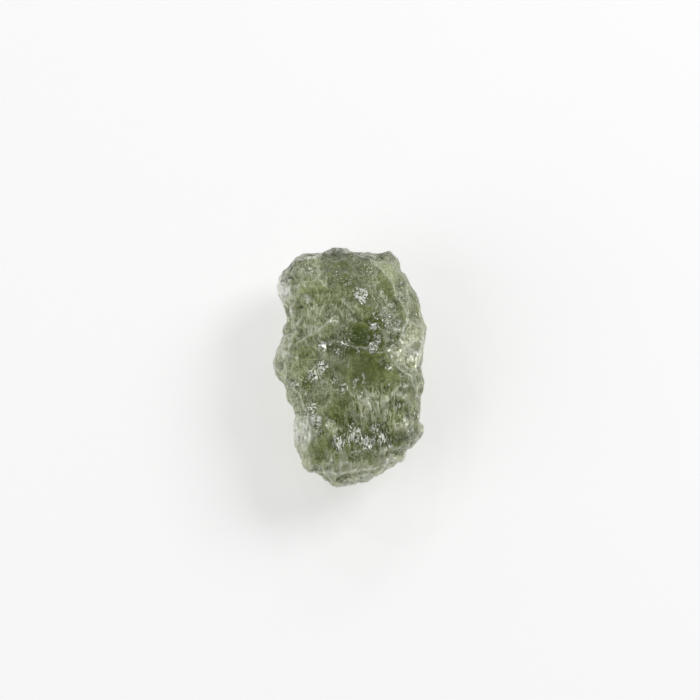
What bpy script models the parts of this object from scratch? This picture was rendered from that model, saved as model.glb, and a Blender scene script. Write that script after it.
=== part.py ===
"""A raw moldavite: one lump of green natural glass, etched all over into scallops, pits and sharp ridges.

The stone is shaped in its face frame, square to its broad side: u runs across the stone, v along it
and w out of it, from a core point near its middle. The form is a blank with lumps fused on and round
scoops cut out of it, given as how far any point lies outside it, and each point of the skin comes in
along a straight ray until that is nothing. The finished stone is tipped back by LIE_TILT and set down
on the small flat that it rests on.
"""

import math

import bmesh
import bpy
import numpy as np
from mathutils import Matrix, Vector, noise

MM = 0.001

CORE = (1.8, 5.3, 0.5)  # half sizes of the egg inside the stone that the rays start on
OUTSIDE = 8.0  # how far along the rays is well outside
STEPS = 20

# Driving dimensions, in millimetres and degrees.
FACE_HEIGHT = 3.7  # from the rim up to the broad face
BACK_DEPTH = 4.5  # from the rim down to the underside
FACE_SQUARENESS = 2.5  # 2 is an ellipsoid, and more is flatter on top with steeper flanks
BACK_SQUARENESS = 1.9
RIM_SLOPE = 0.24  # the rim sinks towards the far end by this much for each millimetre along v
LIE_TILT = 17.0  # the broad face looks up and a little towards -Y
REST_CUT = 0.32  # how much the flat takes off the lowest point

# The rim seen square to the broad face, as (u, v) from the core, clockwise from the upper left lobe.
RIM = [
    (-5.55, 5.76),
    (-5.29, 6.74),
    (-4.53, 7.61),
    (-3.78, 8.40),
    (-3.14, 8.62),
    (-2.09, 8.51),
    (-1.41, 8.89),
    (-0.35, 9.00),
    (0.62, 8.77),
    (1.68, 8.58),
    (3.03, 8.73),
    (3.64, 8.28),
    (3.98, 7.87),
    (3.90, 7.49),
    (4.54, 6.44),
    (5.07, 5.23),
    (5.33, 4.25),
    (5.71, 3.05),
    (5.52, 1.24),
    (5.29, -0.11),
    (5.59, -1.17),
    (5.41, -2.52),
    (5.37, -4.41),
    (5.07, -5.53),
    (4.16, -6.78),
    (2.66, -7.91),
    (1.00, -8.62),
    (-0.73, -9.00),
    (-1.86, -8.62),
    (-2.61, -7.83),
    (-3.22, -7.79),
    (-3.93, -6.97),
    (-4.12, -5.91),
    (-4.04, -4.63),
    (-4.34, -3.28),
    (-4.80, -2.00),
    (-5.02, -1.24),
    (-5.62, -0.64),
    (-5.66, 0.87),
    (-5.17, 2.37),
    (-4.65, 3.43),
    (-4.83, 4.48),
    (-5.36, 5.16),
]
RIM_ROUNDING = 1.0  # degrees of the turn over which the rim's corners are rounded
RIM_SLOTS = 45  # directions in which the finished outline is brought back to the rim

# Lumps that stand out of the skin: (u, v, w) on the skin, radius, and how far it stands out.
LUMPS = [
    ((-3.7, 6.6, 2.2), 1.80, 0.25),  # upper left lobe
    ((4.3, -4.9, 1.4), 1.50, 0.30),  # lower right corner
    ((-4.9, 0.2, 0.2), 1.20, 0.25),  # left lobe
]
BOSSES = [  # added after the scoops, which would cut them away
    ((1.0, 4.8, 3.3), 1.05, 0.45),  # round boss on the upper half
    ((2.9, 7.7, 1.6), 1.10, 0.30),  # knob at the upper right corner
    ((-0.4, 7.2, 2.4), 1.70, 0.15),  # crown between the lobe and the knob
]
LUMP_BLEND = 0.30

# Scoops placed by eye on the broad face: (u, v, w) on the skin, opening radius, and depth.
FACE_SCOOPS = [
    ((1.6, -0.5, 3.7), 2.20, 0.75),  # wide bowl in the middle
    ((-3.1, 0.5, 3.0), 1.25, 0.42),  # left bowl
    ((-1.3, 1.7, 3.6), 1.10, 0.36),  # between that bowl and the pocket
    ((-2.2, -1.9, 3.2), 1.35, 0.42),  # under the left bowl
    ((-0.5, -3.9, 3.4), 1.85, 0.55),  # lower middle
    ((3.4, -3.9, 2.9), 1.40, 0.30),  # lower right bench
    ((3.9, -5.6, 2.0), 1.10, 0.35),  # steep band under the bench
    ((-2.3, -6.3, 2.4), 0.95, 0.42),  # pit by the lower left edge
    ((4.0, 3.4, 2.4), 0.85, 0.28),  # pocket inside the right rim
    ((0.9, 2.5, 3.7), 0.95, 0.45),  # pocket under the boss
    ((1.9, 2.3, 3.7), 0.90, 0.42),  # its right half
    ((-3.4, 3.6, 2.6), 1.50, 0.35),  # long slope at the upper left
    ((-2.0, 4.9, 3.0), 1.60, 0.40),  # its upper half
    ((-0.7, 5.6, 3.2), 1.00, 0.30),  # hollow left of the boss
    ((4.6, 0.9, 1.8), 1.00, 0.45),  # hollow in the right flank
    ((4.0, 6.7, 1.2), 0.75, 0.28),  # notch under the knob
    ((1.4, 8.7, 1.4), 1.10, 0.35),  # groove behind the crown
    ((-5.0, 4.0, 0.6), 1.10, 0.35),  # notch under the upper left lobe
    ((3.1, 5.7, 2.7), 1.40, 0.38),  # slope right of the boss
    ((-0.4, -7.0, 2.6), 1.20, 0.32),  # step above the lower end
    ((2.1, -7.0, 2.2), 1.30, 0.35),  # the step's right half
    ((3.4, 1.9, 3.1), 0.90, 0.28),  # saddle right of the pocket
    ((-4.4, -3.6, 1.5), 1.40, 0.38),  # left flank
    ((-3.9, -6.2, 1.3), 1.20, 0.33),
    ((5.2, -2.3, 1.4), 1.20, 0.35),  # right flank
    ((5.5, 4.4, 1.0), 1.40, 0.45),
    ((-5.3, 0.5, 1.5), 1.05, 0.35),  # thin left lobe
    ((-5.1, 5.6, 1.5), 1.20, 0.40),  # thin edge of the upper left lobe
    ((4.4, -6.6, 1.0), 1.20, 0.38),  # lower end
    ((0.6, -8.4, 1.2), 1.50, 0.45),
    ((-2.6, -8.0, 0.9), 0.90, 0.30),
]

# Scoops strewn over the flanks and the underside, evenly, with their sizes drawn between two limits.
STREWN_SCOOPS = 110
STREWN_RADIUS = (0.7, 1.7)
STREWN_DEPTH_SHARE = (0.20, 0.34)
STREWN_BELOW = 0.22  # they start where a ray leans out of the broad face by less than this
SCOOP_BLEND = 0.10  # how far the ridge between two scoops is worn down
SWAY = 0.08  # how far a scoop's edge strays from round
SWAY_WIDTH = 0.9
FORM_SEED = 14

# Low swells and dents that run over everything.
SWELLS = [(2.6, 0.16), (1.1, 0.07)]  # width, height

WEAR = 0.4  # how far each point moves to the middle of its neighbours, which rounds the finest ridges
GRID_CUTS = 26  # the mesh has this many cuts along each side of the cube that it is blown up from


def rim_reach(angle):
    """How far the rim lies from the core at an angle about it, its corners rounded a little."""
    steps = 1440
    points = sorted((math.atan2(v, u), math.hypot(u, v)) for u, v in RIM)
    angles, lengths = np.array(points).T
    grid = np.linspace(-math.pi, math.pi, steps, endpoint=False)
    even = np.interp(grid, angles, lengths, period=math.tau)
    width = math.radians(RIM_ROUNDING)
    turn = np.minimum(np.abs(grid - grid[0]), math.tau - np.abs(grid - grid[0]))
    weight = np.exp(-0.5 * (turn / width) ** 2)
    smooth = np.fft.irfft(np.fft.rfft(even) * np.fft.rfft(weight / weight.sum()), steps)
    return np.interp(angle, grid, smooth, period=math.tau)


def blank_gap(points):
    """How far each point lies outside the blank: a slab with the rim, a flat face and a rounder back."""
    rim = rim_reach(np.arctan2(points[:, 1], points[:, 0]))
    up = points[:, 2] + RIM_SLOPE * points[:, 1]
    power = np.where(up > 0, FACE_SQUARENESS, BACK_SQUARENESS)
    height = np.where(up > 0, FACE_HEIGHT, BACK_DEPTH)
    across = np.hypot(points[:, 0], points[:, 1]) / rim
    rise = np.abs(up) / height
    size = (across**power + rise**power) ** (1 / power)
    slope = np.hypot((across / size) ** (power - 1) / rim, (rise / size) ** (power - 1) / height)
    return (size - 1) / slope


def soft_least(a, b, blend):
    """The smaller of two gaps, with the corner between them rounded."""
    share = np.clip(0.5 + 0.5 * (b - a) / blend, 0, 1)
    return b + (a - b) * share - blend * share * (1 - share)


def swayed(points):
    """The points moved a little this way and that, so that no lump or scoop comes out round."""
    draw = np.random.default_rng(FORM_SEED)
    shift = np.zeros((len(points), 3))
    for _ in range(3):
        waves = draw.normal(0, 1 / SWAY_WIDTH, (3, 3))
        shift += np.sin(points @ waves + draw.uniform(0, math.tau, 3))
    return points + SWAY * shift


def ball_over(gap, site, radius, height):
    """A ball whose middle stands over the skin nearest a site by that height."""
    point = np.array(site, float)
    for _ in range(4):
        far, *steps = gap(point + 0.01 * np.vstack([np.zeros(3), np.eye(3)]))
        normal = np.array(steps) - far
        normal /= np.linalg.norm(normal)
        point = point - far * normal
    return swayed(point[None])[0] + height * normal, radius


def strewn_scoops():
    """Sites spread over the flanks and the underside on a spiral, each shifted a little."""
    draw = np.random.default_rng(FORM_SEED)
    golden = math.pi * (3 - math.sqrt(5))
    scoops = []
    for i in range(STREWN_SCOOPS):
        height = 1 - 2 * (i + 0.5) / STREWN_SCOOPS
        turn = i * golden + draw.normal(0, 0.12)
        level = math.sqrt(1 - height**2)
        site = np.array([5.5 * level * math.cos(turn), 9 * level * math.sin(turn), 4 * height])
        site += draw.normal(0, 0.3, 3)
        opening = draw.uniform(*STREWN_RADIUS)
        depth = opening * draw.uniform(*STREWN_DEPTH_SHARE)
        lean = site[2] / np.linalg.norm(site) + RIM_SLOPE * site[1] / np.linalg.norm(site)
        if lean < STREWN_BELOW:
            scoops.append((site, opening, depth))
    return scoops


def swell(points):
    """Height of the low swells at each point."""
    height = np.zeros(len(points))
    for width, size in SWELLS:
        height += [size * noise.noise(Vector(p) / width) for p in points]
    return height


def trued_rim(points):
    """Moves the flanks in or out, so that the outline seen square to the broad face is the rim again."""
    angle = np.arctan2(points[:, 1], points[:, 0])
    share = np.hypot(points[:, 0], points[:, 1]) / rim_reach(angle)
    slots = np.linspace(-math.pi, math.pi, RIM_SLOTS, endpoint=False)
    slot = np.round((angle + math.pi) / math.tau * RIM_SLOTS).astype(int) % RIM_SLOTS
    most = np.zeros(RIM_SLOTS)
    np.maximum.at(most, slot, share)
    met = most > 0
    grow = 1 / np.interp(slots, slots[met], most[met], period=math.tau)
    for _ in range(2):
        grow = (np.roll(grow, 1) + 2 * grow + np.roll(grow, -1)) / 4
    edge = np.clip((share - 0.5) / 0.4, 0, 1)
    scale = 1 + (np.interp(angle, slots, grow, period=math.tau) - 1) * edge
    return points * np.stack([scale, scale, np.ones(len(points))], 1)


def joined(gap, points, balls):
    """The gap once balls are fused on."""
    bent = swayed(points)
    for centre, radius in balls:
        gap = soft_least(gap, np.linalg.norm(bent - centre, axis=1) - radius, LUMP_BLEND)
    return gap


def stone_points(starts, rays):
    """The main form in the face frame: each point comes in along its ray until it meets the skin."""
    lumps = [ball_over(blank_gap, site, radius, proud - radius) for site, radius, proud in LUMPS]

    def lumpy_gap(points):
        return joined(blank_gap(points), points, lumps)

    bosses = [ball_over(lumpy_gap, site, radius, proud - radius) for site, radius, proud in BOSSES]
    scoops = []
    for site, opening, depth in FACE_SCOOPS + strewn_scoops():
        radius = (opening**2 + depth**2) / (2 * depth)
        scoops.append(ball_over(lumpy_gap, site, radius, radius - depth))

    points = starts + OUTSIDE * rays
    for _ in range(STEPS):
        points -= rays * lumpy_gap(points)[:, None]
    bent = swayed(points)
    near = [np.flatnonzero(np.linalg.norm(bent - centre, axis=1) < radius + 0.5) for centre, radius in scoops]
    points += rays
    for _ in range(STEPS):
        gap = lumpy_gap(points)
        bent = swayed(points)
        for (centre, radius), part in zip(scoops, near):
            hole = radius - np.linalg.norm(bent[part] - centre, axis=1)
            gap[part] = -soft_least(-gap[part], -hole, SCOOP_BLEND)
        points -= rays * joined(gap, points, bosses)[:, None]
    return trued_rim(points + rays * swell(points)[:, None])


def blown_cube(bm):
    """A cube with a grid on each side, and for each of its points a start in the core and a ray out of it."""
    bmesh.ops.create_cube(bm, size=2)
    bmesh.ops.subdivide_edges(bm, edges=bm.edges[:], cuts=GRID_CUTS, use_grid_fill=True)
    grid = np.array([v.co for v in bm.verts])
    rays = np.tan(grid * math.pi / 4)
    rays /= np.linalg.norm(rays, axis=1)[:, None]
    return rays * CORE, rays


def set_down(bm):
    """Tips the stone back, takes off its flat and moves it so that the flat's plane is at z = 0."""
    bmesh.ops.rotate(bm, verts=bm.verts[:], matrix=Matrix.Rotation(math.radians(LIE_TILT), 3, "X"))
    floor = min(v.co.z for v in bm.verts) + REST_CUT * MM
    cut = bmesh.ops.bisect_plane(
        bm,
        geom=bm.verts[:] + bm.edges[:] + bm.faces[:],
        dist=1e-7,
        plane_co=(0, 0, floor),
        plane_no=(0, 0, -1),
        clear_outer=True,
    )
    edges = [e for e in cut["geom_cut"] if isinstance(e, bmesh.types.BMEdge)]
    bmesh.ops.triangle_fill(bm, edges=edges, normal=(0, 0, -1), use_beauty=True)
    low = [min(v.co[k] for v in bm.verts) for k in range(3)]
    high = [max(v.co[k] for v in bm.verts) for k in range(3)]
    middle = Vector(((low[0] + high[0]) / 2, (low[1] + high[1]) / 2, floor))
    bmesh.ops.translate(bm, verts=bm.verts[:], vec=-middle)


def glass():
    material = bpy.data.materials.new("moldavite_glass")
    material.use_nodes = True
    shader = material.node_tree.nodes["Principled BSDF"]
    shader.inputs["Base Color"].default_value = (0.30, 0.36, 0.16, 1)
    shader.inputs["Roughness"].default_value = 0.25
    shader.inputs["Metallic"].default_value = 0
    shader.inputs["IOR"].default_value = 1.49
    shader.inputs["Transmission Weight"].default_value = 1
    return material


def moldavite():
    bm = bmesh.new()
    starts, rays = blown_cube(bm)
    for vert, point in zip(bm.verts, stone_points(starts, rays)):
        vert.co = point * MM
    bmesh.ops.smooth_vert(
        bm, verts=bm.verts[:], factor=WEAR, use_axis_x=True, use_axis_y=True, use_axis_z=True
    )
    set_down(bm)
    bmesh.ops.recalc_face_normals(bm, faces=bm.faces[:])
    mesh = bpy.data.meshes.new("moldavite")
    bm.to_mesh(mesh)
    bm.free()
    mesh.shade_smooth()
    mesh.materials.append(glass())
    stone = bpy.data.objects.new("moldavite", mesh)
    bpy.context.scene.collection.objects.link(stone)


for old in list(bpy.data.objects):
    bpy.data.objects.remove(old)
moldavite()
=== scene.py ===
"""A raw moldavite in its finished looks: the etched skin in fine relief, green glass, a pale table.

The stone is shaped in its face frame, as its solid is: u runs across the stone, v along it and w out
of its broad face, from a core point near its middle. Lengths in that frame are in millimetres.
"""

import math

import bmesh
import bpy
import numpy as np
from bpy.props import FloatProperty, FloatVectorProperty, IntProperty, PointerProperty
from mathutils import Matrix, Vector, kdtree, noise


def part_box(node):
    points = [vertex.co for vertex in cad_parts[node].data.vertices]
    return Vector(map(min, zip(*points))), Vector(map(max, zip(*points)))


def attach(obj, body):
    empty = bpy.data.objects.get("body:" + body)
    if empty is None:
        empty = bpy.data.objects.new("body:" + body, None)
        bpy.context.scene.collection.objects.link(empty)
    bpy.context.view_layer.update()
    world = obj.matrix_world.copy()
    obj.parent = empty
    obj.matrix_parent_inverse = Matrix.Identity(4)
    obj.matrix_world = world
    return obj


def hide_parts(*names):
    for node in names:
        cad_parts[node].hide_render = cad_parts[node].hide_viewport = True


bl_info = {
    "name": "Raw moldavite",
    "version": (1, 0, 0),
    "blender": (4, 5, 0),
    "location": "View3D > Sidebar > Moldavite",
    "description": "The etched skin, the green glass and the pale table of one raw moldavite",
    "category": "Object",
}

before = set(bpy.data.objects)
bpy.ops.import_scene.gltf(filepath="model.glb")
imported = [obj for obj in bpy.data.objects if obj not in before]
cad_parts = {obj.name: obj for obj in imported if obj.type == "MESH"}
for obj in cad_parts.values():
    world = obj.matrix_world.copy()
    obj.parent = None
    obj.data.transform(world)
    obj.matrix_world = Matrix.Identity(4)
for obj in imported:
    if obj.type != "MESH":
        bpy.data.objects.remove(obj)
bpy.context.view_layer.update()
STONE_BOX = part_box("moldavite")

MM = 0.001

CORE = (1.8, 5.3, 0.5)  # half sizes of the egg inside the stone that the rays start on
OUTSIDE = 8.0  # how far along the rays is well outside
STEPS = 20  # in which each point comes in to the skin
SITE_STEPS = 4  # in which a site is brought onto the skin
PROBE = 0.01  # how far apart the skin's slope is measured

# The blank, as the solid has it.
FACE_HEIGHT = 3.7
BACK_DEPTH = 4.5
FACE_SQUARENESS = 2.5
BACK_SQUARENESS = 1.9
RIM_SLOPE = 0.24
LIE_TILT = 17.0  # degrees that the stone is tipped back where it lies

# The rim seen square to the broad face, as (u, v), clockwise from the upper left lobe.
RIM = [
    (-5.55, 5.76),
    (-5.29, 6.74),
    (-4.53, 7.61),
    (-3.78, 8.40),
    (-3.14, 8.62),
    (-2.09, 8.51),
    (-1.41, 8.89),
    (-0.35, 9.00),
    (0.62, 8.77),
    (1.68, 8.58),
    (3.03, 8.73),
    (3.64, 8.28),
    (3.98, 7.87),
    (3.90, 7.49),
    (4.54, 6.44),
    (5.07, 5.23),
    (5.33, 4.25),
    (5.71, 3.05),
    (5.52, 1.24),
    (5.29, -0.11),
    (5.59, -1.17),
    (5.41, -2.52),
    (5.37, -4.41),
    (5.07, -5.53),
    (4.16, -6.78),
    (2.66, -7.91),
    (1.00, -8.62),
    (-0.73, -9.00),
    (-1.86, -8.62),
    (-2.61, -7.83),
    (-3.22, -7.79),
    (-3.93, -6.97),
    (-4.12, -5.91),
    (-4.04, -4.63),
    (-4.34, -3.28),
    (-4.80, -2.00),
    (-5.02, -1.24),
    (-5.62, -0.64),
    (-5.66, 0.87),
    (-5.17, 2.37),
    (-4.65, 3.43),
    (-4.83, 4.48),
    (-5.36, 5.16),
]
RIM_ROUNDING = 1.0  # degrees of the turn
RIM_STEPS = 1440  # directions in which the rounded rim is worked out
RIM_SLOTS = 45  # directions in which the finished outline is brought back to the rim
TRUED_FROM = 0.5  # share of the way to the rim from which points move with it
TRUED_OVER = 0.4  # share of the way over which that comes in

# Lumps that stand out of the skin: (u, v, w) on the skin, radius, and how far each stands out.
LUMPS = [
    ((-3.7, 6.6, 2.2), 1.80, 0.25),  # upper left lobe
    ((4.3, -4.9, 1.4), 1.50, 0.30),  # lower right corner
    ((-4.9, 0.2, 0.2), 1.20, 0.25),  # left lobe
]
BOSSES = [  # added after the scoops, which would cut them away
    ((1.0, 4.8, 3.3), 1.05, 0.45),  # round boss on the upper half
    ((2.9, 7.7, 1.6), 1.10, 0.30),  # knob at the upper right corner
    ((-0.4, 7.2, 2.4), 1.70, 0.15),  # crown between the lobe and the knob
]
LUMP_BLEND = 0.30
NEAR_SCOOP = 0.5  # how far from a scoop's ball the skin still feels it

# Scoops placed on the broad face: (u, v, w) on the skin, opening radius, and depth.
FACE_SCOOPS = [
    ((1.6, -0.5, 3.7), 2.20, 0.75),  # wide bowl in the middle
    ((-3.1, 0.5, 3.0), 1.25, 0.42),  # left bowl
    ((-1.3, 1.7, 3.6), 1.10, 0.36),  # between that bowl and the pocket
    ((-2.2, -1.9, 3.2), 1.35, 0.42),  # under the left bowl
    ((-0.5, -3.9, 3.4), 1.85, 0.55),  # lower middle
    ((3.4, -3.9, 2.9), 1.40, 0.30),  # lower right bench
    ((3.9, -5.6, 2.0), 1.10, 0.35),  # steep band under the bench
    ((-2.3, -6.3, 2.4), 0.95, 0.42),  # pit by the lower left edge
    ((4.0, 3.4, 2.4), 0.85, 0.28),  # pocket inside the right rim
    ((0.9, 2.5, 3.7), 0.95, 0.45),  # pocket under the boss
    ((1.9, 2.3, 3.7), 0.90, 0.42),  # its right half
    ((-3.4, 3.6, 2.6), 1.50, 0.35),  # long slope at the upper left
    ((-2.0, 4.9, 3.0), 1.60, 0.40),  # its upper half
    ((-0.7, 5.6, 3.2), 1.00, 0.30),  # hollow left of the boss
    ((4.6, 0.9, 1.8), 1.00, 0.45),  # hollow in the right flank
    ((4.0, 6.7, 1.2), 0.75, 0.28),  # notch under the knob
    ((1.4, 8.7, 1.4), 1.10, 0.35),  # groove behind the crown
    ((-5.0, 4.0, 0.6), 1.10, 0.35),  # notch under the upper left lobe
    ((3.1, 5.7, 2.7), 1.40, 0.38),  # slope right of the boss
    ((-0.4, -7.0, 2.6), 1.20, 0.32),  # step above the lower end
    ((2.1, -7.0, 2.2), 1.30, 0.35),  # the step's right half
    ((3.4, 1.9, 3.1), 0.90, 0.28),  # saddle right of the pocket
    ((-4.4, -3.6, 1.5), 1.40, 0.38),  # left flank
    ((-3.9, -6.2, 1.3), 1.20, 0.33),
    ((5.2, -2.3, 1.4), 1.20, 0.35),  # right flank
    ((5.5, 4.4, 1.0), 1.40, 0.45),
    ((-5.3, 0.5, 1.5), 1.05, 0.35),  # thin left lobe
    ((-5.1, 5.6, 1.5), 1.20, 0.40),  # thin edge of the upper left lobe
    ((4.4, -6.6, 1.0), 1.20, 0.38),  # lower end
    ((0.6, -8.4, 1.2), 1.50, 0.45),
    ((-2.6, -8.0, 0.9), 0.90, 0.30),
]

# Scoops strewn over the flanks and the underside.
STREWN_SCOOPS = 110
STREWN_OVER = (5.5, 9, 4)  # half sizes of the egg that they are spread over
STREWN_TURN = 0.12  # how far each strays from the spiral, in radians
STREWN_SHIFT = 0.3
STREWN_RADIUS = (0.7, 1.7)
STREWN_DEPTH_SHARE = (0.20, 0.34)
STREWN_BELOW = 0.22  # sites that lie higher than this on the egg are left out
SCOOP_BLEND = 0.05  # sharper than in the solid, whose mesh is coarser
SWAY = 0.08  # how far a scoop's edge strays from round
SWAY_WIDTH = 0.9
SWAY_WAVES = 3
FORM_SEED = 14
SWELLS = [(2.6, 0.16), (1.1, 0.07)]  # width, height

# The fine relief, which only this piece has.
# Scallops: cell width, and height of the creases between the cells.
SCALLOPS = [(1.00, 0.21), (0.46, 0.075), (0.24, 0.025)]
SCALLOP_LEVEL = 0.3  # share of a crease's height that lies below the skin
GRAINS = [(0.42, 0.030), (0.20, 0.018)]  # width, height
RELIEF_SHARE = (0.25, 0.95)  # of the scallops and grain: everywhere, and more where the skin is grainy
STRIA_LEAN = 14.0  # degrees that the flow lines lean from v towards -u
STRIA_SPACING = 0.26
STRIA_STRETCH = 9.0  # how many times longer than wide a flow line's ripple is
STRIA_HEIGHT = 0.09
PIT_DEPTH_SHARE = (0.25, 0.5)

# Where the flow lines stand out on the broad face: (u, v), radius, strength.
STRIATED = [
    ((1.6, -2.5), 1.5, 1.0),  # slope under the middle bowl
    ((3.0, -2.9), 1.2, 0.9),
    ((-0.2, -5.3), 1.6, 1.0),  # sparkling band above the lower end
    ((2.2, -5.2), 1.4, 0.9),
    ((-2.4, 3.9), 2.0, 0.4),  # upper left slope
]
STRIATED_ELSEWHERE = 0.25

# How the skin changes over the broad face: (u, v), radius, then frost, grain and the depth of painted
# shade, which is low where a glow of light through thin glass is painted.
PLACES = [
    ((1.4, -0.6), 1.4, 0.08, 0.12, 0.0),  # middle bowl
    ((1.3, 2.4), 1.15, 0.0, 0.42, 1.0),  # pocket under the boss, in deep painted shade
    ((-1.5, 2.2), 0.7, 0.32, 0.40, 0.5),  # wall left of it
    ((1.0, 4.8), 0.7, 0.05, 0.70, 0.6),  # boss
    ((1.6, 3.9), 0.55, 0.0, 0.60, 1.0),  # dark crescent of painted shade under it
    ((0.4, 4.2), 0.4, 0.25, 0.60, 0.4),
    ((-0.4, 7.6), 1.3, 0.03, 0.40, 1.0),  # crown, in painted shade
    ((1.2, 6.6), 1.0, 0.13, 0.40, 0.8),
    ((-0.3, 9.1), 0.6, 0.50, 0.50, 0.3),  # the crown's edge
    ((1.3, 8.6), 0.5, 0.25, 0.30, 0.6),  # lip behind the crown
    ((2.9, 7.8), 0.9, 0.14, 0.35, 0.4),  # knob
    ((-3.2, 6.8), 1.5, 0.28, 0.50, 0.5),  # upper left lobe
    ((-5.2, 5.8), 0.8, 0.85, 0.80, 0.4),  # its thin edge, frosted pale as a painted glow of light through it
    ((-2.9, 3.6), 1.6, 0.42, 0.50, 0.25),  # upper left slope
    ((-1.0, 4.2), 1.1, 0.26, 0.50, 0.3),
    ((3.4, 5.0), 1.2, 0.22, 0.40, 0.6),  # right of the boss
    ((3.2, 2.4), 0.8, 0.42, 0.60, 0.5),
    ((5.2, 3.6), 1.0, 0.38, 0.40, 0.0),  # right rim
    ((4.5, 1.2), 0.9, 1.00, 0.40, 0.0),  # hollow at the right, fully frosted as a painted glow of light through thin glass
    ((-5.2, 0.9), 1.0, 0.50, 0.45, 0.4),  # thin left lobe
    ((-3.2, 0.4), 1.0, 0.30, 0.35, 0.0),  # left bowl
    ((-2.2, -1.8), 1.1, 0.28, 0.60, 0.0),  # the one below it
    ((-4.3, -2.5), 0.9, 0.20, 0.50, 0.3),  # left flank
    ((-3.8, -4.8), 1.1, 0.70, 0.80, 0.4),
    ((-3.4, -7.0), 1.0, 0.50, 0.50, 0.2),
    ((-0.5, -3.5), 1.2, 0.22, 0.30, 0.0),  # lower middle
    ((1.9, -2.6), 1.1, 0.60, 0.60, 0.2),  # slope under the middle bowl
    ((3.4, -4.0), 0.9, 0.48, 0.35, 0.0),  # bench
    ((3.6, -5.4), 0.6, 0.12, 0.50, 0.9),  # steep band under it
    ((4.8, -5.1), 0.4, 0.25, 0.40, 0.5),
    ((5.0, -4.3), 0.5, 0.45, 0.40, 0.0),
    ((5.0, -2.5), 1.0, 0.35, 0.35, 0.0),  # right flank
    ((-0.3, -5.4), 1.1, 0.08, 0.80, 0.6),  # sparkling band above the lower end
    ((2.2, -5.4), 1.0, 0.10, 0.70, 0.6),
    ((-2.2, -6.3), 0.8, 0.14, 0.20, 0.10),  # pit by the lower left edge
    ((2.6, -7.2), 1.4, 0.66, 0.60, 0.0),  # lower end
    ((1.6, -6.4), 0.45, 0.10, 0.30, 0.0),  # spots in it with a painted glow of light through clear green glass
    ((2.0, -7.0), 0.40, 0.50, 0.30, 0.0),
    ((-1.2, -7.6), 0.50, 0.15, 0.40, 0.5),
    ((-0.4, -7.9), 1.2, 0.44, 0.60, 0.2),
]
ELSEWHERE = (0.25, 0.4, 0.5, 0.5)  # frost, grain, depth of painted shade, and how much they weigh against the places
PLACE_WEIGHT = 8
PLACE_FALL = 1.5  # how fast a place's weight falls off from its middle
THIN_EDGE_GLOW = 0.05  # more frost along the rim, a painted glow of light through the thin edges
EDGE_FROM = 0.8  # share of the way to the rim at which it begins
EDGE_OVER = 0.2  # and over which it comes in
UNDER_FADE = 1.1  # how far below the rim the places still tell

# Where glints are painted on the broad face, as white specks that in part mirror the lamps as well: (u,
# v), radius, strength.
GLITTER = [
    ((0.85, 5.30), 0.60, 1.00),  # top of the boss
    ((-0.35, 6.30), 0.30, 0.55),
    ((1.85, 3.85), 0.40, 0.60),  # pocket under the boss
    ((1.75, 2.95), 0.36, 1.05),
    ((2.05, 2.10), 0.40, 0.95),
    ((1.75, 1.40), 0.48, 0.95),
    ((0.60, 1.15), 0.22, 0.80),
    ((-0.35, 1.75), 0.35, 0.70),  # ridge left of the pocket
    ((-0.85, 1.10), 0.28, 0.75),
    ((-2.00, 1.55), 0.50, 0.95),  # left bowl
    ((-2.10, 0.00), 0.55, 0.95),
    ((-2.75, -0.60), 0.55, 0.98),
    ((-3.30, -0.95), 0.40, 0.60),
    ((-0.50, -1.70), 0.55, 0.60),  # below the left bowl
    ((-1.10, -1.10), 0.40, 0.55),
    ((-4.20, -1.40), 0.50, 0.50),  # left flank
    ((-2.75, -3.10), 0.50, 0.85),
    ((-2.45, -3.90), 0.55, 0.90),
    ((-2.40, -4.75), 0.40, 0.70),
    ((2.93, -0.08), 0.25, 0.95),  # middle bowl
    ((2.90, -1.32), 0.14, 1.00),
    ((1.10, -2.00), 0.60, 0.60),  # slope under it
    ((2.20, -2.80), 0.60, 0.55),
    ((3.70, -2.95), 0.45, 0.80),
    ((4.90, -3.70), 0.40, 0.60),  # end of the bench
    ((4.60, -4.60), 0.40, 0.50),
    ((-0.80, -5.60), 0.70, 0.80),  # band above the lower end
    ((0.15, -4.30), 0.45, 0.60),
    ((0.35, -5.00), 0.75, 0.84),
    ((1.25, -5.60), 0.65, 0.86),
    ((1.85, -4.50), 0.45, 0.85),
    ((2.25, -5.30), 0.60, 0.84),
    ((3.00, -5.80), 0.25, 0.80),
    ((-1.20, -6.85), 0.28, 0.80),
    ((3.60, 5.00), 0.35, 0.45),  # right of the boss
    ((2.70, 3.40), 0.50, 0.60),
    ((1.40, 7.30), 0.60, 0.45),  # beside the crown
    ((-3.10, 7.20), 0.50, 0.50),  # upper left lobe
    ((-4.70, -3.60), 0.50, 0.50),
    ((-4.00, -4.60), 0.80, 0.50),
    ((-3.70, -6.30), 0.60, 0.40),
    ((-5.20, 5.60), 0.60, 0.50),
    ((4.30, 0.95), 0.35, 0.70),  # glowing hollow
]

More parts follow.
